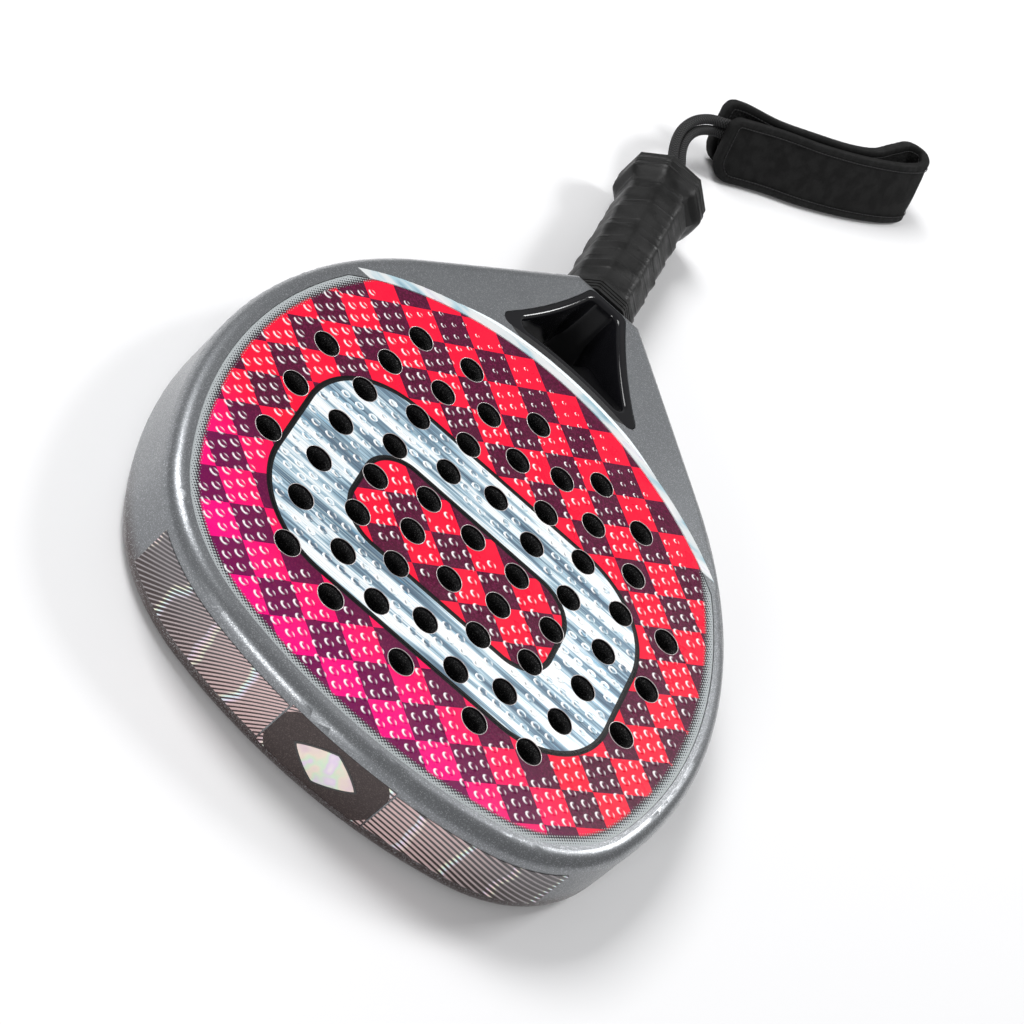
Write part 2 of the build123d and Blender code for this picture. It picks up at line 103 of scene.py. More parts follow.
# %% Mesh helpers
def add_mesh(name, points, faces, body, material, slot=None, smooth=True, **attributes):
    """A mesh from points, faces with equal numbers of corners, and values for each point."""
    points = np.asarray(points, float).reshape(-1, 3)
    faces = np.asarray(faces, int)
    count, corners = faces.shape
    mesh = bpy.data.meshes.new(name)
    mesh.vertices.add(len(points))
    mesh.vertices.foreach_set("co", points.ravel())
    mesh.loops.add(count * corners)
    mesh.loops.foreach_set("vertex_index", faces.ravel())
    mesh.polygons.add(count)
    mesh.polygons.foreach_set("loop_start", np.arange(0, count * corners, corners))
    mesh.polygons.foreach_set("use_smooth", np.full(count, smooth))
    mesh.update(calc_edges=True)
    for key, values in attributes.items():
        layer = mesh.attributes.new(key, "FLOAT", "POINT")
        layer.data.foreach_set("value", np.asarray(values, np.float32).ravel())
    mesh.validate()
    piece = add_object(name, mesh)
    mesh.materials.append(material)
    if body:
        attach(piece, body)
    print(name, "has", len(points), "points and", count, "faces")
    return piece


def grid_faces(rows, columns, loop_rows=False, loop_columns=False):
    """Quads of a grid. A looped direction joins its last line to its first."""
    r = np.arange(rows if loop_rows else rows - 1)[:, None]
    c = np.arange(columns if loop_columns else columns - 1)[None, :]
    r2, c2 = (r + 1) % rows, (c + 1) % columns
    corners = r * columns + c, r * columns + c2, r2 * columns + c2, r2 * columns + c
    return np.stack(np.broadcast_arrays(*corners), -1).reshape(-1, 4)


def stamp(shape, faces, centres, sizes=1.0):
    """Copies of one small shape at many centres, each scaled by its own size."""
    shape, centres = np.asarray(shape, float), np.asarray(centres, float)
    sizes = np.broadcast_to(np.asarray(sizes, float), (len(centres),))
    points = centres[:, None, :] + shape[None] * sizes[:, None, None]
    copies = faces[None] + (np.arange(len(centres)) * len(shape))[:, None, None]
    return points.reshape(-1, 3), copies.reshape(-1, faces.shape[1])


def unit(v):
    """Vectors scaled to a length of one."""
    return v / np.maximum(np.linalg.norm(v, axis=-1, keepdims=True), 1e-12)


def circle(count):
    """Evenly spaced angles round a circle."""
    return np.linspace(0, 2 * np.pi, count, endpoint=False)

# %% [markdown]
# The studio is a pale floor, a white room and three soft lamps. The racket rests on the floor.
# Big lamps matter here: lacquer and foil show little but the shapes that they reflect.

# %% Floor, room and lamps
SOCKETS = {"metal": "Metallic", "specular": "Specular IOR Level", "coat": "Coat Weight",
           "coat_rough": "Coat Roughness"}


def plain_material(name, color, roughness, **sockets):
    """A material with a Principled shader; other sockets have the short names above."""
    material = bpy.data.materials.new(name)
    material.use_nodes = True
    shader = material.node_tree.nodes["Principled BSDF"]
    shader.inputs["Base Color"].default_value = (*color, 1)
    shader.inputs["Roughness"].default_value = roughness
    for key, value in sockets.items():
        shader.inputs[SOCKETS[key]].default_value = value
    return material


floor_color = plain_material("pale_floor", (0.86, 0.86, 0.87), 0.75)
half, level = 6.0, -0.0004
corners = [(x * half, y * half, level) for x, y in ((-1, -1), (1, -1), (1, 1), (-1, 1))]
floor = add_mesh("studio_floor", corners, [(0, 1, 2, 3)], None, floor_color)
floor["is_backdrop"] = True

room = bpy.data.worlds.new("white_room")
room.use_nodes = True
walls = room.node_tree.nodes["Background"].inputs
walls["Color"].default_value = (1, 1, 1, 1)
walls["Strength"].default_value = 0.32
bpy.context.scene.world = room
bpy.context.scene.view_settings.view_transform = "Standard"


def soft_lamp(name, place, aim, size, power):
    """A square lamp that faces a point."""
    data = bpy.data.lights.new(name, "AREA")
    data.size, data.energy = size, power
    lamp = add_object(name, data)
    away = unit(np.array(place) - np.array(aim))
    side = unit(np.cross((0, 0, 1), away))
    lamp.matrix_world = turned(place, side, np.cross(away, side), away)
    print(name, "of", power, "watts")


soft_lamp("key_lamp", (-1.1, 0.5, 1.5), (0, 0, 0), 0.8, 28)
soft_lamp("tip_lamp", (-0.3, -1.6, 0.5), (0, -0.1, 0), 0.5, 11)
soft_lamp("far_lamp", (0.9, 1.2, 1.3), (0, 0, 0), 0.45, 15)

# %% [markdown]
# Shader graphs read better as sums, so a small helper adds one node for each sum and hands
# back its socket. Patterns are drawn in millimetres of the object's own coordinates.

# %% Shader helpers
class Graph:
    """Adds nodes to a tree; every method gives back a socket."""

    def __init__(self, tree):
        self.tree, self.nodes, self.links = tree, tree.nodes, tree.links

    def put(self, socket, value):
        if isinstance(value, bpy.types.NodeSocket):
            self.links.new(value, socket)
        elif value is not None:
            socket.default_value = value

    def math(self, operation, *values):
        made = self.nodes.new("ShaderNodeMath")
        made.operation = operation
        for socket, value in zip(made.inputs, values):
            self.put(socket, value)
        return made.outputs[0]

    def plus(self, a, b):
        return self.math("ADD", a, b)

    def minus(self, a, b):
        return self.math("SUBTRACT", a, b)

    def times(self, a, b):
        return self.math("MULTIPLY", a, b)

    def size(self, a):
        return self.math("ABSOLUTE", a)

    def above(self, a, b):
        return self.math("GREATER_THAN", a, b)

    def below(self, a, b):
        return self.math("LESS_THAN", a, b)

    def step(self, value, low, high, smooth=True):
        made = self.nodes.new("ShaderNodeMapRange")
        made.interpolation_type = "SMOOTHSTEP" if smooth else "LINEAR"
        for key, item in zip(("Value", "From Min", "From Max"), (value, low, high)):
            self.put(made.inputs[key], item)
        return made.outputs["Result"]

    def mix(self, share, a, b):
        """From colour a to colour b. A plain number stands for a grey."""
        made = self.nodes.new("ShaderNodeMix")
        made.data_type = "RGBA"
        self.put(made.inputs[0], share)
        for socket, color in ((made.inputs[6], a), (made.inputs[7], b)):
            color = (color,) * 3 if isinstance(color, float) else color
            self.put(socket, (*color, 1) if isinstance(color, tuple) else color)
        return made.outputs[2]

    def place(self):
        """Object coordinates in millimetres: a vector and its three parts."""
        coordinate = self.nodes.new("ShaderNodeTexCoord").outputs["Object"]
        scaled = self.nodes.new("ShaderNodeVectorMath")
        scaled.operation = "SCALE"
        self.put(scaled.inputs[0], coordinate)
        scaled.inputs["Scale"].default_value = 1000
        parts = self.nodes.new("ShaderNodeSeparateXYZ")
        self.put(parts.inputs[0], scaled.outputs[0])
        return scaled.outputs[0], parts.outputs[0], parts.outputs[1], parts.outputs[2]

    def attribute(self, name):
        """A value stored on the mesh's own points."""
        made = self.nodes.new("ShaderNodeAttribute")
        made.attribute_name = name
        return made.outputs["Fac"]

    def vector(self, x, y, z=0.0):
        made = self.nodes.new("ShaderNodeCombineXYZ")
        for socket, value in zip(made.inputs, (x, y, z)):
            self.put(socket, value)
        return made.outputs[0]

    def noise(self, vector, scale, detail=2.0, roughness=0.5):
        made = self.nodes.new("ShaderNodeTexNoise")
        for key, value in (("Vector", vector), ("Scale", scale), ("Detail", detail),
                           ("Roughness", roughness)):
            self.put(made.inputs[key], value)
        return made.outputs["Fac"]

    def cells(self, vector, scale, output="Distance"):
        made = self.nodes.new("ShaderNodeTexVoronoi")
        self.put(made.inputs["Vector"], vector)
        self.put(made.inputs["Scale"], scale)
        return made.outputs[output]

    def ramp(self, value, *stops):
        """Colours at positions from 0 to 1."""
        made = self.nodes.new("ShaderNodeValToRGB")
        stretch = made.color_ramp.elements
        while len(stretch) < len(stops):
            stretch.new(0.5)
        for element, (position, color) in zip(stretch, stops):
            element.position, element.color = position, (*color, 1)
        self.put(made.inputs[0], value)
        return made.outputs[0]

    def bump(self, height, distance, strength=1.0):
        made = self.nodes.new("ShaderNodeBump")
        made.inputs["Strength"].default_value = strength
        made.inputs["Distance"].default_value = distance
        self.put(made.inputs["Height"], height)
        return made.outputs[0]

    def group(self, tree, **values):
        made = self.nodes.new("ShaderNodeGroup")
        made.node_tree = tree
        for key, value in values.items():
            self.put(made.inputs[key], value)
        return made.outputs

    def length(self, x, y):
        return self.math("SQRT", self.plus(self.times(x, x), self.times(y, y)))

    def paint(self, color, roughness, height=None, distance=0.0, strength=0.5):
        """Link a colour, a roughness and a raised height to the material's own shader."""
        shader = self.nodes["Principled BSDF"]
        self.put(shader.inputs["Base Color"], color)
        self.put(shader.inputs["Roughness"], roughness)
        if height is not None:
            self.put(shader.inputs["Normal"], self.bump(height, distance, strength))


def new_group(name, inputs, outputs):
    """An empty node group with named sockets: its graph, its inputs and its outputs."""
    tree = bpy.data.node_groups.new(name, "ShaderNodeTree")
    for key, value in inputs.items():
        made = tree.interface.new_socket(key, in_out="INPUT", socket_type="NodeSocketFloat")
        made.default_value = value
    for key, kind in outputs.items():
        tree.interface.new_socket(key, in_out="OUTPUT", socket_type=kind)
    graph = Graph(tree)
    start, end = graph.nodes.new("NodeGroupInput"), graph.nodes.new("NodeGroupOutput")
    return graph, start.outputs, end.inputs


def finish_material(name, **sockets):
    """A material and its graph, ready to be painted."""
    material = plain_material(name, (0.5, 0.5, 0.5), 0.5, **sockets)
    return material, Graph(material.node_tree)


def dress(material, *names):
    """Give loaded pieces their finish."""
    for name in names:
        mesh = node[name].data
        mesh.materials.clear()
        mesh.materials.append(material)

# %% [markdown]
# Three effects come back on many pieces. Soft grain is the leathery unevenness of foam, rubber
# and wrap. Metal flake is the sparkle in the lacquer. Foil streaks are the long drawn bands of
# a silver holographic film. Each is a node group, so that every finish sets its own scale.

# %% Shared effects
COLOR, VALUE = "NodeSocketColor", "NodeSocketFloat"
BLACK = (0.004, 0.004, 0.005)


def soft_grain():
    """Height: fine noise plus a coarser one. Mask: slow patches from 0 to 1."""
    g, start, end = new_group("soft_grain", {"Scale": 1.0, "Coarse": 0.4},
                              {"Height": VALUE, "Mask": VALUE})
    place = g.place()[0]
    fine = g.noise(place, g.times(start["Scale"], 1.6), 3)
    coarse = g.noise(place, g.times(start["Scale"], 0.35), 2)
    g.put(end["Height"], g.plus(fine, g.times(coarse, start["Coarse"])))
    g.put(end["Mask"], g.step(g.noise(place, g.times(start["Scale"], 0.07), 3), 0.35, 0.65))
    return g.tree


def metal_flake():
    """Shine: a random value for each tiny cell. Tone: slow cloud from 0 to 1."""
    g, start, end = new_group("metal_flake", {"Scale": 3.0}, {"Shine": VALUE, "Tone": VALUE})
    place = g.place()[0]
    cell = g.cells(place, start["Scale"], "Color")
    parts = g.nodes.new("ShaderNodeSeparateColor")
    g.put(parts.inputs[0], cell)
    g.put(end["Shine"], parts.outputs[0])
    g.put(end["Tone"], g.noise(place, 0.03, 3))
    return g.tree


def foil_streaks():
    """Long bands along X: broad slate and white ones, with thin blue lines between them."""
    g, start, end = new_group("foil_streaks", {"Slate": 0.5}, {"Color": COLOR, "Height": VALUE})
    _, x, y, z = g.place()
    wide = g.noise(g.vector(g.times(x, 0.012), g.times(y, 0.16), z), 1.0, 2)
    fine = g.noise(g.vector(g.times(x, 0.02), g.times(y, 0.75), 7.0), 1.0, 3)
    hair = g.noise(g.vector(g.times(x, 0.035), g.times(y, 2.4), 3.0), 1.0, 2)
    band = g.plus(g.times(wide, 0.72), g.times(fine, 0.28))
    base = g.ramp(band, (0.38, (0.10, 0.15, 0.21)), (0.45, (0.17, 0.26, 0.34)),
                  (0.50, (0.42, 0.58, 0.68)), (0.54, (0.90, 0.95, 0.97)), (0.66, (1.0, 1.0, 1.0)))
    blue = g.times(g.step(hair, 0.60, 0.66), g.step(fine, 0.50, 0.60))
    tinted = g.mix(g.times(blue, 0.85), base, (0.10, 0.42, 0.68))
    glow = g.step(g.noise(g.vector(g.times(x, 0.01), g.times(y, 0.9), 11.0), 1.0, 2), 0.6, 0.72)
    g.put(end["Color"], g.mix(g.times(glow, start["Slate"]), tinted, (0.75, 0.93, 0.95)))
    g.put(end["Height"], hair)
    return g.tree


grain, flake, streaks = soft_grain(), metal_flake(), foil_streaks()
print("shared effects:", grain.name, flake.name, streaks.name)

# %% [markdown]
# The frame is a grey lacquer full of metal flake under a clear coat. Flakes lie at random, so
# each one is a little darker, brighter or glossier than its neighbour. Low on the side wall the
# grey turns to bronze near the tip. At the throat a white line and a black one follow the bridge,
# and both taper out sideways.

# %% Frame lacquer
BRIDGE_Y = -112.0  # centre of the arcs along the throat bridge
MID = 19.0  # height of the middle, half the thickness
frame_lacquer, g = finish_material("frame_lacquer", metal=0.70, coat=0.5, coat_rough=0.22)
out = g.group(flake, Scale=3.2)
spark = g.math("POWER", out["Shine"], 7.0)
_, x, y, z = g.place()
base = g.mix(out["Tone"], (0.135, 0.142, 0.152), (0.20, 0.21, 0.222))
by_tip = g.times(g.step(y, -140.0, -195.0), g.step(z, 15.0, 5.0))
base = g.mix(by_tip, base, (0.055, 0.034, 0.032))
base = g.mix(g.times(spark, 0.45), base, (0.70, 0.73, 0.75))
from_bridge = g.length(x, g.minus(y, BRIDGE_Y))
flank, meet = g.size(x), 147.6
black_from = g.plus(meet, g.times(g.step(flank, 24.0, 39.0), 6.4))
white_to = g.minus(meet, g.times(g.step(flank, 34.0, 66.0), 2.6))
black = g.times(g.above(from_bridge, black_from), g.below(from_bridge, 154.0))
black = g.times(black, g.below(flank, 39.0))
white = g.times(g.below(from_bridge, white_to), g.above(y, 0.0))
trim = g.math("MAXIMUM", black, white)
base = g.mix(trim, base, g.mix(black, (0.85, 0.92, 0.95), BLACK))
g.paint(base, g.minus(0.46, g.times(out["Shine"], 0.16)), g.noise(g.place()[0], 1.4, 2), 0.00006)
metal = g.nodes["Principled BSDF"].inputs["Metallic"]
g.put(metal, g.minus(0.7, g.times(trim, 0.7)))
dress(frame_lacquer, "frame", "throat_bridge")

# %% [markdown]
# The print knows how far it is from the rim of the head. The rim is made of arcs, so the
# distance is a radius less the distance from that arc's centre, and the smallest one counts.
# The corner arc only counts inside its own wedge. The straight-cut edge at the bridge is left
# out, because the print runs right up to it.

# %% Distances on the head
TIP_RADIUS, TIP_Y = 219.45, 0.5
SIDE_RADIUS, SIDE_X, SIDE_Y = 191.45, -70.0, -100.0
CORNER_RADIUS, CORNER_X, CORNER_Y = 69.45, 44.235, -142.829
TO_TIP, TO_SIDE = (0.9555, 0.2949), (0.3510, 0.9364)
RING_Y, RING_OUTER, RING_INNER = -108.0, (85.5, 58.0, 40.0), (51.5, 26.0, 18.0)


def rim_distance():
    """Millimetres inside the round edge of the face sheet."""
    g, _, end = new_group("rim_distance", {}, {"Outline": VALUE})
    _, x, y, _ = g.place()
    ax = g.size(x)
    tip = g.minus(TIP_RADIUS, g.length(ax, g.minus(y, TIP_Y)))
    side = g.minus(SIDE_RADIUS, g.length(g.minus(ax, SIDE_X), g.minus(y, SIDE_Y)))
    vx, vy = g.minus(ax, CORNER_X), g.minus(y, CORNER_Y)
    corner = g.minus(CORNER_RADIUS, g.length(vx, vy))

    def beside(way):
        return g.plus(g.times(vx, way[0]), g.times(vy, way[1]))

    wedge = g.times(g.above(beside(TO_TIP), 0.0), g.below(beside(TO_SIDE), 0.0))
    long_arcs = g.math("MINIMUM", tip, side)
    g.put(end["Outline"], g.plus(long_arcs, g.times(wedge, g.minus(corner, long_arcs))))
    return g.tree


def ring_distance():
    """Millimetres inside the silver ring; negative outside it."""
    g, _, end = new_group("ring_distance", {}, {"Distance": VALUE})
    _, x, y, _ = g.place()
    ax, ay = g.size(x), g.size(g.minus(y, RING_Y))

    def box(half_x, half_y, round_by):
        qx, qy = g.minus(ax, half_x - round_by), g.minus(ay, half_y - round_by)
        outside = g.length(g.math("MAXIMUM", qx, 0.0), g.math("MAXIMUM", qy, 0.0))
        inside = g.math("MINIMUM", g.math("MAXIMUM", qx, qy), 0.0)
        return g.minus(g.plus(outside, inside), round_by)

    g.put(end["Distance"], g.math("MINIMUM", g.times(box(*RING_OUTER), -1.0), box(*RING_INNER)))
    return g.tree


rim_gap, ring_gap = rim_distance(), ring_distance()

# %% [markdown]
# Diamonds are a chequerboard seen on its corner: two slanted coordinates are rounded, and the
# sum says red or plum. Towards the tip the red turns magenta, the rim dissolves into dots,
# and the plum diamonds are mottled as if the ink had been sponged on.

# %% Diamond print
def diamond_print():
    """Colour of the printed face in front of the foil."""
    g, _, end = new_group("diamond_print", {}, {"Color": COLOR})
    place, x, y, _ = g.place()
    u = g.math("DIVIDE", g.minus(x, 7.8), 24.0)
    v = g.math("DIVIDE", g.plus(y, 5.0), 22.1)
    p, q = g.math("ROUND", g.plus(u, v)), g.math("ROUND", g.minus(u, v))
    odd = g.math("MODULO", g.size(g.plus(p, q)), 2.0)
    odd = g.above(odd, 0.5)
    toward_tip = g.minus(g.times(y, -0.012), g.times(x, 0.004))
    magenta = g.step(g.plus(toward_tip, g.noise(place, 0.012, 1)), 2.15, 3.1)
    red = g.mix(magenta, (0.90, 0.006, 0.040), (0.88, 0.001, 0.20))
    plum = g.mix(magenta, (0.070, 0.004, 0.024), (0.16, 0.002, 0.075))
    mottle = g.noise(place, 1.1, 3, roughness=0.7)
    plum = g.mix(g.step(mottle, 0.45, 0.70), plum, (0.17, 0.010, 0.060))
    color = g.mix(odd, red, plum)
    ring = g.group(ring_gap)["Distance"]
    color = g.mix(g.step(ring, -1.35, -1.15), color, BLACK)
    rim = g.group(rim_gap)["Outline"]
    wave = 2 * np.pi / 1.25 / 1.4142
    dots = g.plus(g.math("COSINE", g.times(g.plus(x, y), wave)),
                  g.math("COSINE", g.times(g.minus(x, y), wave)))
    dots = g.plus(g.times(dots, 0.25), 0.5)
    ink = g.above(g.step(rim, 0.2, 5.2, False), dots)
    dark = g.mix(g.step(rim, 3.2, 5.4), (0.035, 0.035, 0.04), color)
    g.put(end["Color"], g.mix(ink, (0.40, 0.43, 0.44), dark))
    return g.tree


printed = diamond_print()


def on_marks(g, color, pale, depth, dark):
    """The colour of a raised mark: a painted highlight and painted shade, stored on its points."""
    # pale is the colour of the painted highlight, dark that of the painted shade.
    color = g.mix(g.attribute("pale"), color, pale)
    return g.mix(g.times(g.attribute("shade"), depth), color, dark)


def print_finish(name, coat_roughness, grain_depth, marked=False):
    """Lacquered print. Marks have a painted highlight and painted shade; the walls of the holes are
    black.
    """
    material, g = finish_material(name, specular=0.12, coat=0.05, coat_rough=coat_roughness)
    out = g.group(printed)
    color = out["Color"]
    if marked:
        # The print marks' painted highlight is near white; their painted shade is dark plum.
        color = on_marks(g, color, (0.92, 0.88, 0.90), 0.45, (0.04, 0.004, 0.012))
    height = g.size(g.minus(g.place()[3], MID))
    soft = g.group(grain, Scale=1.2, Coarse=0.6)
    g.paint(g.mix(g.step(height, 18.46, 18.54), (0.006, 0.005, 0.006), color),
            g.plus(0.26, g.times(soft["Mask"], 0.12)),
            soft["Height"], grain_depth, 0.6)
    return material


face_print = print_finish("face_print", 0.10, 0.00010)
mark_print = print_finish("mark_print", 0.03, 0.00003, marked=True)
dress(face_print, "front_face_sheet", "rear_face_sheet")


def foil_finish(name, slate, metallic, marked=False):
    """Silver film with a black outline where it meets the print."""
    material, g = finish_material(name, metal=metallic, specular=0.3, coat=0.2, coat_rough=0.08)
    out = g.group(streaks, Slate=slate)
    ring = g.group(ring_gap)["Distance"]
    color = g.mix(g.step(ring, 1.15, 1.35), BLACK, out["Color"])
    if marked:
        # The foil marks' painted highlight is white; their painted shade is dark slate.
        color = on_marks(g, color, 1.0, 0.8, (0.03, 0.05, 0.07))
    g.paint(color, g.plus(0.20, g.times(out["Height"], 0.18)), out["Height"], 0.00008, 0.5)
    return material


emblem_foil = foil_finish("emblem_foil", 0.5, 0.25)
dress(emblem_foil, "front_emblem_foil", "rear_emblem_foil")

band_foil, g = finish_material("band_foil", metal=0.35, coat=1.0, coat_rough=0.05)
_, x, y, _ = g.place()
along = g.noise(g.vector(g.times(x, 0.035), g.times(y, 0.12)), 1.0, 3)
g.paint(g.ramp(along, (0.30, (0.22, 0.40, 0.52)), (0.42, (0.55, 0.78, 0.88)),
               (0.50, (0.90, 0.95, 0.97)), (0.62, (1.0, 1.0, 1.0)), (0.70, (0.80, 0.78, 0.90))),
        g.times(along, 0.4))
dress(band_foil, "front_bridge_band", "rear_bridge_band")

# %% [markdown]
# Both faces carry hundreds of small raised marks in staggered rows, which grip the ball. The
# rows are worked out as whole arrays, and those too near a hole or an edge are left out. The
# marks get smaller towards the bridge. Each is a low dome of a few dozen faces.

# %% Raised marks
hole_quarter = np.array([
    (0, 0), (0, 29.2), (0, 57.7), (0, 85.6), (23.4, 0), (22.4, 21.7), (21.2, 43.6), (20.2, 68.1),
    (46.5, 11.3), (44.9, 35.4), (41.5, 58.8), (36.3, 83.5), (69.9, 0), (69.1, 26.0), (66.8, 50.7),
    (61.3, 76.4), (93.3, 0), (92.1, 32.1)])
signs = np.array([(1, 1), (1, -1), (-1, 1), (-1, -1)])
holes = np.unique((hole_quarter[:, None] * signs[None]).reshape(-1, 2), axis=0) + (0, -90)
print("holes:", len(holes))


def inside_rim(x, y):
    """The same rim distance for arrays, with the cut edge at the bridge as one more arc."""
    ax = np.abs(x)
    tip = TIP_RADIUS - np.hypot(ax, y - TIP_Y)
    side = SIDE_RADIUS - np.hypot(ax - SIDE_X, y - SIDE_Y)
    v = np.stack([ax - CORNER_X, y - CORNER_Y])
    wedge = (np.dot(TO_TIP, v) > 0) & (np.dot(TO_SIDE, v) < 0)
    outline = np.where(wedge, CORNER_RADIUS - np.hypot(*v), np.minimum(tip, side))
    return np.minimum(outline, 140.85 - np.hypot(x, y - BRIDGE_Y))


def inside_ring(x, y):
    """The same ring distance for arrays."""
    def box(half_x, half_y, round_by):
        qx, qy = np.abs(x) - half_x + round_by, np.abs(y - RING_Y) - half_y + round_by
        outside = np.hypot(np.maximum(qx, 0), np.maximum(qy, 0))
        return outside + np.minimum(np.maximum(qx, qy), 0) - round_by
    return np.minimum(-box(*RING_OUTER), box(*RING_INNER))


pitch_x, pitch_y = 7.2, 5.2
rows, columns = np.mgrid[-30:30, -20:21]
mark_x = columns * pitch_x + np.where(rows % 2, pitch_x / 2, 0) + 1.2
mark_y = rows * pitch_y - 90.0
mark_x, mark_y = mark_x.ravel(), mark_y.ravel()
hole_gap = np.hypot(mark_x[:, None] - holes[:, 0], mark_y[:, None] - holes[:, 1]).min(axis=1)
rim_room, hole_room, ring_room = 5.5, 8.6, 3.2
kept = (inside_rim(mark_x, mark_y) > rim_room) & (hole_gap > hole_room)
kept &= np.abs(inside_ring(mark_x, mark_y)) > ring_room
mark_x, mark_y = mark_x[kept], mark_y[kept]
mark_size = np.clip(1.0 - (mark_y + 30) / 90, 0.5, 1.0)

turn = circle(16)
steps = np.array([(1.0, -0.10), (0.88, 0.24), (0.68, 0.34), (0.48, 0.20), (0.24, 0.22)])
long_half, short_half, top = 2.45, 1.85, 0.28
share, rise = steps[:, :1], steps[:, 1:]
parts = long_half * share * np.cos(turn), short_half * share * np.sin(turn), rise
dome = np.stack(np.broadcast_arrays(*parts), -1)
dome = np.vstack([dome.reshape(-1, 3), [(0, 0, top)]]) * MM
ring_quads = grid_faces(5, 16, loop_columns=True)
tip_fan = np.array([(64 + i, 64 + (i + 1) % 16, 80) for i in range(16)])
mark_faces = np.vstack([ring_quads[:, [0, 1, 2]], ring_quads[:, [0, 2, 3]], tip_fan])


def painted_mark_light(x):
    """Two values for each point: a painted highlight in a crescent and a bar, and painted shade
    between them.
    """
    # Painted light: the highlight's crescent faces one way, turning across the face, with painted
    # shade inside it and a small highlight bar opposite.
    toward = -np.radians(100 + 50 * np.clip((x + 95) / 65, 0, 1))[:, None]
    crescent = np.clip(np.cos(turn - toward) * 1.9 - 0.35, 0, 1)
    bar = 0.75 * np.clip(np.cos(turn - toward - np.pi) * 6 - 4.6, 0, 1)
    painted_shade_side = np.clip(np.cos(turn - toward) * 2.5 - 1.0, 0, 1)
    pale = (crescent + bar)[:, None, :] * np.array([0.1, 0.95, 1.0, 0.1, 0])[:, None]
    shade = painted_shade_side[:, None, :] * np.array([0, 0, 0, 1.0, 0.35])[:, None]
    return [np.c_[values.reshape(len(x), -1), np.zeros(len(x))] for values in (pale, shade)]


def add_marks(name, chosen, level, side, material, slot):
    """Domes on one face; side is 1 for the front and -1 for the rear."""
    centres = np.stack([mark_x[chosen], mark_y[chosen], np.full(chosen.sum(), level)], -1) * MM
    faces = mark_faces if side > 0 else mark_faces[:, ::-1]
    points, faces = stamp(dome * (1, 1, side), faces, centres, mark_size[chosen])
    pale, shade = painted_mark_light(mark_x[chosen])
    return add_mesh(name, points, faces, "racket", material, slot, pale=pale, shade=shade)


mark_foil = foil_finish("mark_foil", 0.5, 0.15, marked=True)
on_ring = inside_ring(mark_x, mark_y) > 0
for label, side, sheet_level, foil_level in (("front", 1, 37.6, 37.75), ("rear", -1, 0.4, 0.25)):
    add_marks(label + "_print_marks", ~on_ring, sheet_level, side, mark_print, "face_print")
    add_marks(label + "_foil_marks", on_ring, foil_level, side, mark_foil, "emblem_foil")

# %% [markdown]
# A small bead on each rim catches the light as a cut edge does. Its pale colour is a painted
# highlight, standing in for the bright chamfer round each hole.

# %% Hole rims
def bead_ring(radius, thick, around=40, section=6):
    """A ring of round section, as points and quads."""
    a = circle(around)[:, None]
    b = circle(section)[None, :]
    r = radius + thick * np.cos(b)
    points = np.stack([r * np.cos(a), r * np.sin(a), thick * np.sin(b) + 0 * a], -1).reshape(-1, 3)
    return points, grid_faces(around, section, True, True)


# The pale colour is a painted highlight on each hole's edge.
rim_highlight = plain_material("hole_edge_highlight", (0.55, 0.50, 0.50), 0.3, metal=0.4, coat=0.6)
ring_points, ring_faces = bead_ring(6.08, 0.16)
for label, level in (("front", 37.62), ("rear", 0.38)):
    centres = np.c_[holes, np.full(len(holes), level)] * MM
    points, faces = stamp(ring_points * MM, ring_faces, centres)
    add_mesh(label + "_hole_rims", points, faces, "racket", rim_highlight, "face_print")

# %% [markdown]
# The foam shows only inside the holes: black, matt and full of tiny burst cells, with a few
# pale ones where the drill tore them. The throat's moulding is piano black.

# %% Foam and throat
core_foam, g = finish_material("core_foam")
place = g.place()[0]
pores = g.cells(place, 1.5)
torn = g.above(g.noise(place, 2.2, 3), 0.60)
g.paint(g.mix(torn, (0.006, 0.006, 0.007), 0.13),
        g.plus(0.7, g.times(pores, 0.2)),
        pores, 0.0004, 0.9)
dress(core_foam, "foam_core")

liner_gloss, g = finish_material("liner_gloss", specular=0.1, coat=0.45, coat_rough=0.02)
place = g.place()[0]
g.paint(g.mix(g.noise(place, 0.05, 2), BLACK, (0.010, 0.010, 0.012)),
        g.plus(0.10, g.times(g.noise(place, 0.2, 2), 0.08)),
        g.noise(place, 0.06, 2), 0.0004, 0.35)
dress(liner_gloss, "throat_liner")

# %% [markdown]
# The film on the side wall is dark bronze, ruled with fine bright lines. They slant on the left
# and bend on the right, where they are arcs about a far point. Upright bands across them flash
# through the spectrum, as the rulings of such a film do.

# %% Side films and tip plate
TIP_WALL = 228.0  # radius of the side wall at the tip


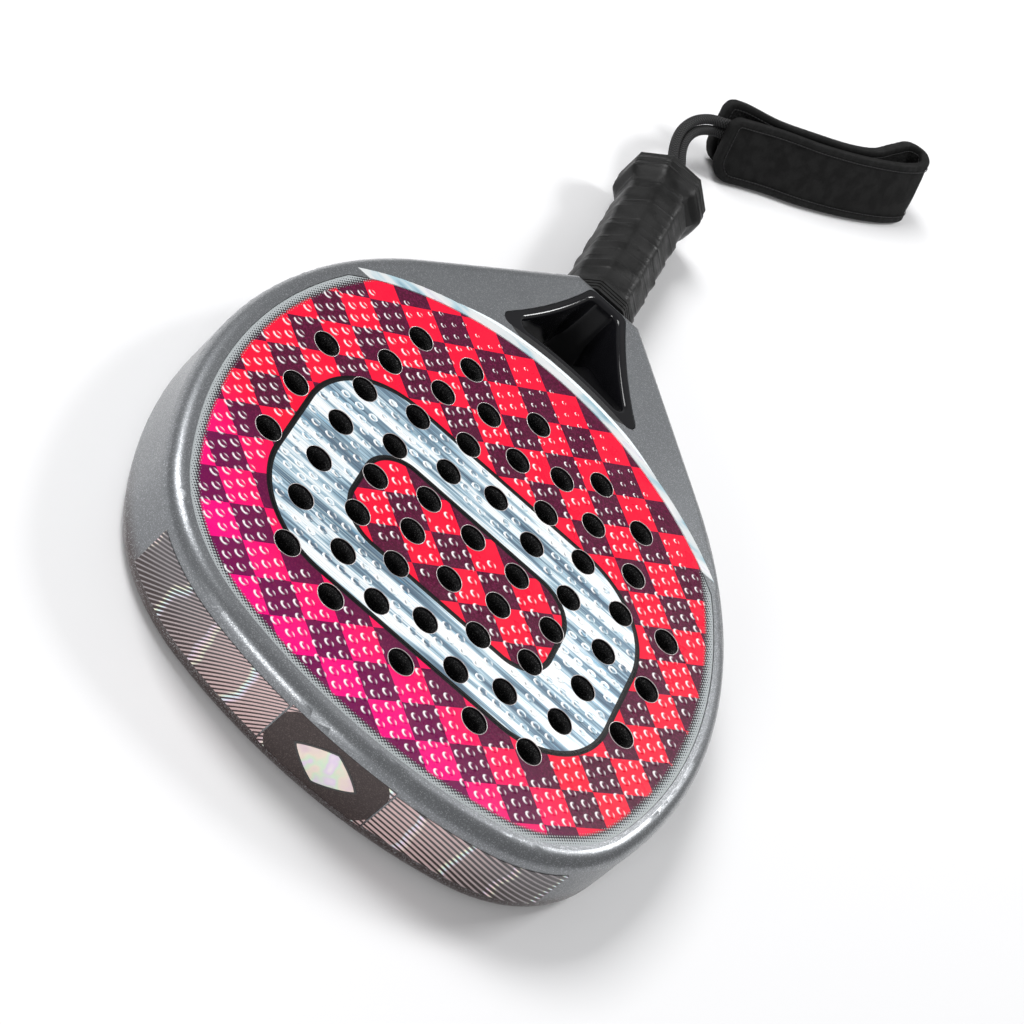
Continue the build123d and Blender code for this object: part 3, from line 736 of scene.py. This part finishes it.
def film_shade(g):
    """Bright lines on a dark ground; upright bands across them flash through the spectrum."""
    _, x, _, z = g.place()
    rise = g.minus(z, MID)
    around = g.times(g.math("ARCSINE", g.math("DIVIDE", x, TIP_WALL)), TIP_WALL)
    bend = g.times(g.times(rise, rise), 0.008)
    slant = g.minus(g.minus(around, rise), bend)
    arcs = g.length(g.minus(x, 10.0), g.plus(z, 150.0))
    on_right = g.above(x, 0.0)
    reach = g.plus(slant, g.times(on_right, g.minus(arcs, slant)))
    lines = g.math("SINE", g.times(reach, 2 * np.pi / 2.2))
    by_plate = g.step(g.size(around), 100.0, 35.0)
    lower = g.times(by_plate, 0.75)
    bright = g.step(lines, g.minus(0.35, lower), g.minus(0.85, lower))
    wander = g.plus(around, g.times(g.noise(g.vector(around, z), 0.05, 1), 12.0))
    flash = g.step(g.math("SINE", g.times(wander, 2 * np.pi / 21.0)), 0.72, 0.98)
    hue = g.math("FRACT", g.times(wander, 0.17))
    spectrum = g.ramp(hue, (0.0, (0.75, 0.32, 0.62)), (0.25, (0.85, 0.45, 0.35)),
                      (0.45, (0.80, 0.85, 0.35)), (0.65, (0.45, 0.85, 0.80)),
                      (0.85, (0.60, 0.55, 0.85)), (1.0, (0.75, 0.32, 0.62)))
    rose = g.mix(by_plate, (0.34, 0.31, 0.32), (0.66, 0.47, 0.46))
    shine = g.mix(flash, rose, g.mix(0.55, spectrum, 1.0))
    ground = g.mix(g.step(z, 10.0, 26.0), (0.040, 0.024, 0.023), (0.085, 0.075, 0.078))
    return g.mix(bright, ground, shine), lines


side_film, g = finish_material("side_film", metal=0.35, coat=0.3, coat_rough=0.08)
color, lines = film_shade(g)
g.paint(color, g.plus(0.3, g.times(lines, 0.06)), lines, 0.00005, 0.5)
dress(side_film, "left_side_film", "right_side_film")

plate_bronze, g = finish_material("plate_bronze", metal=0.4, coat=0.3, coat_rough=0.10)
out = g.group(flake, Scale=3.5)
_, x, _, z = g.place()
corner_x = g.math("MAXIMUM", g.minus(g.size(x), 14.0), 0.0)
corner_z = g.math("MAXIMUM", g.minus(g.size(g.minus(z, MID)), 3.0), 0.0)
beyond = g.above(g.length(corner_x, corner_z), 12.0)
speck = g.mix(g.math("POWER", out["Shine"], 6.0), (0.032, 0.020, 0.019), (0.11, 0.08, 0.075))
g.paint(g.mix(beyond, speck, film_shade(g)[0]), g.plus(0.32, g.times(out["Tone"], 0.1)))
dress(plate_bronze, "tip_plate")

pearl_foil, g = finish_material("pearl_foil", metal=0.3, coat=0.5, coat_rough=0.06)
_, x, _, z = g.place()
sweep = g.noise(g.vector(g.times(x, 0.10), g.times(z, 0.07)), 1.0, 2)
g.paint(g.ramp(sweep, (0.34, (0.80, 0.62, 0.66)), (0.44, (0.86, 0.74, 0.62)),
               (0.50, (0.66, 0.82, 0.62)), (0.56, (0.78, 0.64, 0.82)), (0.66, (0.92, 0.86, 0.84))),
        g.plus(0.18, g.times(sweep, 0.1)))


def powered(wave, power):
    """A sine or cosine raised to a power, with its sign kept."""
    return np.sign(wave) * np.abs(wave) ** power


def lozenge(half_x, half_z, count=80):
    """A diamond with soft corners as a closed loop of points."""
    a = circle(count)
    return np.c_[half_x * powered(np.cos(a), 1.7), half_z * powered(np.sin(a), 1.7)]


def around_tip(s, z, lift):
    """Place on the tip's side wall: the arc length is an angle times the tip's radius."""
    angle, reach = s / TIP_WALL, TIP_WALL + lift
    return np.stack([reach * np.sin(angle), TIP_Y - reach * np.cos(angle), z], -1) * MM


def badge(name, outer, inner, lift, thick, material):
    """A flat closed shape laid round the tip: an outer and an inner loop, each on top and below."""
    loops = [(outer, lift - thick), (outer, lift), (inner, lift), (inner, lift - thick)]
    points = np.stack([around_tip(loop[:, 0], MID + loop[:, 1], height) for loop, height in loops])
    return add_mesh(name, points, grid_faces(4, len(outer), True, True)[:, ::-1], "racket",
                    material, "side_film", smooth=False)


ink = plain_material("badge_outline", (0.008, 0.007, 0.007), 0.25, coat=0.8)
badge("tip_badge", lozenge(14.0, 9.0), lozenge(0.05, 0.05), 0.16, 0.3, pearl_foil)
badge("tip_badge_edge", lozenge(15.4, 10.0), lozenge(12.6, 8.0), 0.10, 0.3, ink)

# %% [markdown]
# The grip is an octagon wound with one long tape. Each turn laps over the last, so the surface
# climbs slowly and drops at the seam, and the tape creases where it is pulled round the
# corners. It is a grid: one direction runs round the handle, the other from collar to butt.

# %% Overgrip
def octagon_radius(angle, width, height, cut=0.29, soft=1.7):
    """Distance from the axis to a soft-cornered octagon: a smooth minimum of eight sides."""
    w, h = np.asarray(width)[..., None] / 2, np.asarray(height)[..., None] / 2
    cut_x, cut_z = 2 * w * cut, 2 * h * cut
    slant = np.arctan2(cut_x, cut_z)
    slant_reach = w * np.cos(slant) + (h - cut_z) * np.sin(slant)
    total = 0
    straight = ((0 * w, w), (0 * w + np.pi / 2, h), (0 * w + np.pi, w), (0 * w - np.pi / 2, h))
    aslant = [(normal, slant_reach) for normal in (slant, np.pi - slant, np.pi + slant, -slant)]
    for normal, reach in (*straight, *aslant):
        facing = np.cos(angle - normal)
        total = total + np.where(facing > 0.2, np.exp(-soft * reach / np.maximum(facing, 0.2)), 0)
    return -np.log(total) / soft


def handle_size(y):
    """Width and height of the handle at a place along it: straight, then flared, then straight."""
    share = np.clip((y - 204.5) / 9.0, 0, 1)
    share = share * share * (3 - 2 * share)
    return 33.0 + 8.0 * share, 31.0 + 5.0 * share


around, along = 132, 400
angle = circle(around)[None, :]
y = np.linspace(111.0, 225.3, along)[:, None]
width, height = handle_size(y[:, 0])
radius = octagon_radius(angle, width, height)
lap = (y / 17.0 + angle / (2 * np.pi)) % 1.0
lap_height = 0.85 * lap ** 1.8 * (1 - np.clip((lap - 0.965) / 0.035, 0, 1) ** 2)
rng = np.random.default_rng(5)
crease = np.zeros_like(radius)
draws = (rng.uniform(0.10, 0.55, 26), rng.integers(-2, 3, 26), rng.uniform(0, 6.28, 26),
         rng.uniform(0.4, 1, 26))
for wave_y, turns, phase, size in zip(*draws):
    crease += size * np.sin(wave_y * y + turns * angle + phase + 1.5 * np.sin(2 * angle + phase))
crease = np.tanh(crease / 2.2)
pulled = 0.5 + 0.5 * np.sin(2 * angle + 0.035 * y * 6.28 / 4)


def hump(value, at, wide):
    """A smooth rise to one at a place, and down again."""
    return np.exp(-((value - at) / wide) ** 2)


ridge = hump(lap, 0.30, 0.035) * 0.20 * pulled + hump(lap, 0.62, 0.03) * 0.16 * (1 - pulled)
flare_bands = 0.35 * hump(y, 214.5, 0.8) + 0.30 * hump(y, 220.5, 0.7) - 0.25 * hump(y, 217.5, 0.7)
end_round = -2.2 * np.clip((y - 222.6) / 2.7, 0, 1) ** 2
outer = radius + 0.12 + lap_height * (y < 219) + 0.16 * crease + ridge + flare_bands + end_round
inner_y = np.array([225.3, 222.0, 213.5, 204.5, 111.0])[:, None]
inner_width, inner_height = handle_size(inner_y[:, 0])
inner = octagon_radius(angle, inner_width, inner_height) - 0.35 - 1.9 * (inner_y > 225)
all_radius, all_y = np.vstack([outer, inner]), np.vstack([y, inner_y])
x, z = all_radius * np.cos(angle), MID + all_radius * np.sin(angle)
points = np.stack([x, all_y + 0 * angle, z], -1) * MM


def soft_finish(name, specular, scale, coarse, dark, pale, rough, spread, depth, strength=0.5):
    """Tape, foam or rubber: a grey that is paler and duller in slow patches."""
    material, g = finish_material(name, specular=specular)
    soft = g.group(grain, Scale=scale, Coarse=coarse)
    rough = g.plus(rough, g.times(soft["Mask"], spread))
    g.paint(g.mix(soft["Mask"], dark, pale), rough, soft["Height"], depth, strength)
    return material


grip_wrap = soft_finish("grip_wrap", 0.2, 1.5, 0.8, 0.006, 0.011, 0.34, 0.16, 0.00012, 0.6)
handle_foam = soft_finish("handle_foam", 0.2, 2.0, 0.3, 0.035, 0.055, 0.75, 0.1, 0.0002)
collar_rubber = soft_finish("collar_rubber", 0.25, 1.8, 0.3, 0.005, 0.009, 0.5, 0.12, 0.0001)
wrap = add_mesh("overgrip_wrap", points, grid_faces(along + 5, around, True, True), "racket",
                grip_wrap, "grip_wrap")
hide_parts("overgrip")
dress(grip_wrap, "base_grip")
dress(handle_foam, "front_handle_shell", "rear_handle_shell")
dress(collar_rubber, "grip_collar", "butt_cap")

# %% [markdown]
# The wrist cord is two braided strands that leave the butt side by side and end inside the
# strap, one above the other. Each follows one smooth spline with given points. The braid
# is worked into the tube itself: two families of yarns wind in opposite ways and take turns
# on top, so the height at any place is that of the yarn that is over there.

# %% Cord routes
def spline_points(name, controls):
    """Points along a smooth open spline of order three that has these control points, in metres."""
    curve = bpy.data.curves.new(name, "CURVE")
    curve.dimensions = "3D"
    curve.resolution_u = 24
    spline = curve.splines.new("NURBS")
    spline.points.add(len(controls) - 1)
    for point, control in zip(spline.points, controls):
        point.co = (*control, 1)
    spline.order_u = 3
    spline.use_endpoint_u = True
    carrier = bpy.data.objects.new(name, curve)
    mesh = bpy.data.meshes.new_from_object(carrier)
    found = np.array([v.co[:] for v in mesh.vertices])
    bpy.data.objects.remove(carrier)
    bpy.data.meshes.remove(mesh)
    bpy.data.curves.remove(curve)
    return found


def reaches(line):
    """How far along the line each of its points lies."""
    return np.r_[0, np.cumsum(np.linalg.norm(np.diff(line, axis=0), axis=1))]


def along_line(s, at, line):
    """Places on a line at distances s, when its points lie at distances at."""
    return np.stack([np.interp(s, at, part) for part in line.T], -1)


def evenly(line, spacing):
    """The same line with points a fixed distance apart."""
    reach = reaches(line)
    count = max(int(round(reach[-1] / spacing)), 4) + 1
    at = np.linspace(0, reach[-1], count)
    return along_line(at, reach, line), at


def braid(name, line, body, material, radius=2.42, yarns=8, lay=7.0, around=64):
    """Braided tube of rings square to a line; the ring at each end is closed small."""
    points, at = evenly(line, 0.30 * MM)
    way = unit(np.gradient(points, axis=0))
    side = unit(np.cross(way, (0, 0, 1)))
    lift = np.cross(side, way)
    turn = circle(around)[None, :]
    s = (at / MM)[:, None]
    wind, climb = yarns / 2 * turn / np.pi, s / lay * 4
    p, q = (wind + climb) % 2, (wind - climb) % 2
    over = (np.floor(p) + np.floor(q)) % 2 < 1
    crown_p, crown_q = 1 - (2 * (p % 1) - 1) ** 2, 1 - (2 * (q % 1) - 1) ** 2
    height = 0.25 * (crown_p + crown_q) + 0.5 * np.where(over, crown_p, crown_q)
    r = (radius + 0.34 * (height - 0.6)) * MM
    r[[0, -1]], r[[1, -2]] = 0.02 * MM, 0.8 * radius * MM
    out = np.cos(turn)[..., None] * side[:, None] + np.sin(turn)[..., None] * lift[:, None]
    grid = points[:, None] + r[..., None] * out
    piece = add_mesh(name, grid, grid_faces(len(points), around, False, True)[:, ::-1], body,
                     material, "cord_braid", relief=height)
    print(name, "is", round(float(at[-1]) * 1000, 1), "mm long")
    return piece, float(at[-1])


cord_braid, g = finish_material("cord_braid", specular=0.15)
place = g.place()[0]
thread = g.noise(place, 5.0, 2)
# Painted shade: where the braid dips between yarns the colour falls to near black.
clear_of_groove_shade = g.step(g.attribute("relief"), 0.45, 1.0)
g.paint(g.mix(clear_of_groove_shade, 0.001, g.mix(thread, (0.035, 0.035, 0.036), (0.085, 0.085, 0.087))),
        g.plus(0.5, g.times(thread, 0.2)),
        thread, 0.0002, 0.6)
dress(cord_braid, "cord_knot", "cord_in_handle")

butt, level, strand_gap = 0.2275, 0.019, 2.65 * MM
lean = np.radians(29.0)
middle = np.array([(0.0, 10.0), (0.0, 20.5), (-4.2, 33.0), (-5.8, 46.5), (-3.2, 60.0), (2.6, 70.5),
                   (9.4, 75.9), (13.4, 79.4)]) * MM
heading = unit(np.vstack([(0, 1), (0, 1), middle[3:] - middle[1:-2], middle[-1] - middle[-2]]))
share = np.clip((np.arange(8) - 1) / 5, 0, 1)
twist = (np.pi / 2 - lean) * share
sideways = np.stack([heading[:, 1], -heading[:, 0]], -1) * np.cos(twist)[:, None]
shift = np.c_[sideways, -np.sin(twist)] * strand_gap
centre = np.c_[middle[:, 0], middle[:, 1] + butt, np.full(8, level)]
strands = {}
for label, side in (("right", 1), ("left", -1)):
    line = spline_points("cord_line_" + label, centre + side * shift)
    piece, length = braid("cord_braid_" + label, line, "wrist_loop", cord_braid)
    strands[label] = (piece, line, length)
mouth_parts = []
for label, side in (("right", 1), ("left", -1)):
    x = side * strand_gap
    line = np.linspace((x, butt - 0.0054, level), (x, butt + 0.0103, level), 30)
    piece, _ = braid("cord_mouth_" + label, line, None, cord_braid)
    mouth_parts.append(piece)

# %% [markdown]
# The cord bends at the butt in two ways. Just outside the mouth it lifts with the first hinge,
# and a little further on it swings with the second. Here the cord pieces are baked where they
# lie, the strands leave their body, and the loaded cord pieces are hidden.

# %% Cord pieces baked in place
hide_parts("cord_at_mouth")
for piece in mouth_parts:
    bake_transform(piece)
for label, (piece, line, length) in strands.items():
    piece.parent = None
    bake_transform(piece)
    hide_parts("cord_strand_" + label)

# %% [markdown]
# The strap is one padded band folded in two, standing on its edge and leaning back. Its middle
# line is a smooth curve on the ground, and the band rises from it at a slant. Cover and
# lining are closed profiles carried along that line, narrower at the rounded ends.

# %% Strap surfaces
fold = np.array([
    (19.5, 63.5), (44.5, 85.0), (68.0, 102.5), (92.5, 124.5), (112.5, 147.0), (118.5, 158.5),
    (115.5, 165.5), (107.5, 163.0), (100.0, 150.0), (92.0, 134.0), (80.0, 120.5), (60.0, 104.0),
    (40.6, 89.6), (21.4, 79.8), (12.2, 72.0)]) + (0, 227.5)
strap_back = unit(np.array([-0.62, 0.78, 0.0]))
strap_up = unit(strap_back * np.tan(lean) + (0, 0, 1))
wide = 33.0


def through(knots, count):
    """Smooth line through points: each stretch is a cubic whose ends lean along its neighbours."""
    span = np.linalg.norm(np.diff(knots, axis=0), axis=1) ** 0.5
    at = np.r_[0, np.cumsum(span)]
    slope = np.gradient(knots, at, axis=0)
    t = np.linspace(0, at[-1], count)
    i = np.clip(np.searchsorted(at, t, side="right") - 1, 0, len(span) - 1)
    h = span[i][:, None]
    f = ((t - at[i]) / span[i])[:, None]
    return ((2 * f**3 - 3 * f**2 + 1) * knots[i] + (f**3 - 2 * f**2 + f) * h * slope[i]
            + (3 * f**2 - 2 * f**3) * knots[i + 1] + (f**3 - f**2) * h * slope[i + 1])


ground = through(fold, 600)
ground = np.c_[ground, np.zeros(len(ground))]
ground, ground_at = evenly(ground, 0.7)
band_length = ground_at[-1]
print("strap's band is", round(band_length, 1), "mm long")


def on_band(s, v, d):
    """Place on the band: s along it, v across it, d out from its middle; flat where it rests."""
    base = along_line(s, ground_at, ground)
    way = unit(along_line(s + 0.6, ground_at, ground) - along_line(s - 0.6, ground_at, ground))
    out = unit(np.cross(way, strap_up))
    placed = base + strap_up * np.asarray(v)[..., None] + out * np.asarray(d)[..., None]
    placed[..., 2] = np.maximum(placed[..., 2], 0.02)
    return placed


LOW_CORNER, HIGH_CORNER = 13.0, 6.0


def edges_at(s):
    """Lower and upper edge of the band; its ends have large corners below and small ones above."""
    near = np.minimum(s, band_length - s)
    low, high = [r - np.sqrt(r * r - np.clip(r - near, 0, r) ** 2)
                 for r in (LOW_CORNER, HIGH_CORNER)]
    return low, wide - high


def padded_layer(name, inner_d, outer_d, crown, inset, rough, material, slot, columns=26):
    """A closed layer: outer face with a soft crown, then back along its inner face."""
    s = np.linspace(3.4, band_length - 3.4, 330)[:, None]
    low, high = edges_at(s)
    low, high = low + inset, high - inset
    t = np.linspace(0, 1, columns)[None, :]
    v = low + (high - low) * t
    fade = np.clip(np.minimum(s - 3, band_length - 3 - s) / 6, 0.2, 1)
    puff = crown * (1 - (2 * t - 1) ** 4) * fade
    rumple = 0.14 * np.sin(s * 0.11 + 1.5 * np.sin(v * 0.2)) * np.sin(v * 0.17 + s * 0.05)
    raised = np.sign(outer_d - inner_d) * (puff + rumple + rough)
    outer_face = on_band(s + 0 * v, v, outer_d + raised)
    inner_face = on_band(s + 0 * v, v, np.full(v.shape, inner_d))[:, ::-1]
    grid = np.concatenate([outer_face, inner_face], axis=1) * MM
    k = np.arange(columns - 1)
    near_cap = np.stack([k, k + 1, 2 * columns - 2 - k, 2 * columns - 1 - k], -1)
    far_cap = near_cap + (len(s) - 1) * 2 * columns
    faces = np.vstack([grid_faces(len(s), 2 * columns, False, True), near_cap[:, ::-1], far_cap])
    return add_mesh(name, grid, faces, "wrist_loop", material, slot)


strap_neoprene, g = finish_material("strap_neoprene", specular=0.15)
place = g.place()[0]
soft = g.group(grain, Scale=2.4, Coarse=0.5)
knit = g.cells(place, 1.6)
g.paint(g.mix(soft["Mask"], 0.006, 0.012),
        g.plus(0.72, g.times(knit, 0.15)),
        g.plus(knit, soft["Height"]), 0.00018, 0.6)

strap_fleece, g = finish_material("strap_fleece", specular=0.1)
place = g.place()[0]
loops = g.noise(place, 1.3, 4, roughness=0.7)
g.paint(g.mix(g.step(loops, 0.4, 0.65), 0.006, 0.030),
        g.plus(0.85, g.times(loops, 0.1)),
        loops, 0.0009, 1.0)

cover = padded_layer("strap_cover_padded", 0.15, 1.95, 0.65, 3.5, 0.0, strap_neoprene,
                     "strap_neoprene")
rng = np.random.default_rng(9)
tufts = rng.normal(0, 0.16, (330, 26))
lining = padded_layer("strap_lining_fleece", -0.15, -1.9, 0.35, 3.5, tufts, strap_fleece,
                      "strap_fleece")
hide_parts("strap_cover")
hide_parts("strap_lining")

# %% [markdown]
# A folded knit tape binds the strap all the way round, through the rounded corners, and two
# rows of small stitches hold it. The tape is a soft U profile carried round the edge.

# %% Strap binding
def edge_walk(inset, count=900):
    """Places round the band's edge, moved in by inset, and the way ahead at each of them."""
    low_r, high_r = LOW_CORNER - inset, HIGH_CORNER - inset
    a = np.linspace(0, np.pi / 2, 22)
    right_s, low_v, high_v = band_length - inset, inset, wide - inset
    loop = np.vstack([
        np.c_[right_s - low_r + low_r * np.sin(a), low_v + low_r - low_r * np.cos(a)],
        np.c_[right_s - high_r + high_r * np.cos(a), high_v - high_r + high_r * np.sin(a)],
        np.c_[inset + high_r - high_r * np.sin(a), high_v - high_r + high_r * np.cos(a)],
        np.c_[inset + low_r - low_r * np.cos(a), low_v + low_r - low_r * np.sin(a)]])
    loop = np.vstack([loop, loop[:1]])
    reach = reaches(loop)
    walk = along_line(np.linspace(0, reach[-1], count, endpoint=False), reach, loop)
    return walk, unit(np.roll(walk, -1, axis=0) - np.roll(walk, 1, axis=0))


walk, ahead = edge_walk(0.0)
inward = np.stack([-ahead[:, 1], ahead[:, 0]], -1)
b = circle(22)
profile_in = 2.3 - 2.3 * powered(np.cos(b), 0.55)
profile_out = 2.55 * powered(np.sin(b), 0.6) * (1 - 0.10 * (profile_in > 3.5))
ripple = 1 + 0.03 * np.sin(np.arange(len(walk)) * 0.9)
s = walk[:, None, 0] + inward[:, None, 0] * profile_in[None]
v = walk[:, None, 1] + inward[:, None, 1] * profile_in[None]
grid = on_band(s, np.maximum(v, 0.05), profile_out[None] * ripple[:, None]) * MM

strap_binding, g = finish_material("strap_binding", specular=0.15)
place = g.place()[0]
rib = g.cells(place, 2.0)
soft = g.group(grain, Scale=2.0, Coarse=0.6)
g.paint(g.mix(rib, 0.006, 0.013),
        g.plus(0.65, g.times(soft["Mask"], 0.15)),
        g.plus(rib, soft["Height"]), 0.00018, 0.6)
binding = add_mesh("strap_binding_tape", grid, grid_faces(len(walk), 22, True, True), "wrist_loop",
                   strap_binding, "strap_binding")
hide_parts("strap_lower_binding", "strap_upper_binding")

# %% Stitches
stitch_thread = plain_material("stitch_thread", (0.030, 0.030, 0.031), 0.5, specular=0.2)
walk, ahead = edge_walk(3.9, 300)
t, fat = np.array([(-0.85, 0.03), (-0.7, 0.24), (0.7, 0.24), (0.85, 0.03)]).T[..., None]
ring = circle(6)
s, v = walk[:, None, None, 0], walk[:, None, None, 1]
ahead_s, ahead_v = ahead[:, None, None, 0], ahead[:, None, None, 1]
s = s + ahead_s * t - ahead_v * fat * np.cos(ring)
v = v + ahead_v * t + ahead_s * fat * np.cos(ring)
rows = [on_band(s, v, level + fat * np.sin(ring) + 0 * s) for level in (2.62, -2.62)]
points = np.concatenate(rows).reshape(-1, 24, 3) * MM
first = np.arange(len(points)) * 24
faces = (grid_faces(4, 6, False, True)[None] + first[:, None, None]).reshape(-1, 4)
add_mesh("strap_stitches", points, faces, "wrist_loop", stitch_thread, "strap_binding")

# %% [markdown]
# Between the band's two ends sits a sewn tab that grips both strands. It bridges from one inner
# face to the other, so each of its points is a share of the way between the two ends.

# %% Sewn tab
b = np.r_[0.0, 0.02, np.linspace(0.06, 0.94, 20), 0.98, 1.0][:, None]
turn = circle(48)[None, :]
swell = np.where((b < 0.01) | (b > 0.99), 0.05, np.where((b < 0.03) | (b > 0.97), 0.90, 1.0))
share = 0.5 + 0.5 * powered(np.cos(turn), 0.45) * swell
v = 16.5 + (9.2 + 0.12 * np.sin(34 * b)) * powered(np.sin(turn), 0.45) * swell
depth = np.full(v.shape, -2.9)
near = on_band(band_length * (0.018 + 0.057 * b) + 0 * v, v, depth)
far = on_band(band_length * (0.982 - 0.057 * b) + 0 * v, v, depth)
grid = (near * (1 - share[..., None]) + far * share[..., None]) * MM
tab = add_mesh("sewn_end_tab", grid, grid_faces(len(b), 48, False, True), "wrist_loop",
               strap_binding, "strap_binding")
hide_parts("strap_end_tab")

# %% The sizes of the loaded frame and of the finished scene
sizes = {"cad": cad_box, "visual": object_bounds()}
sizes = {key: [list(map(float, corner)) for corner in box] for key, box in sizes.items()}
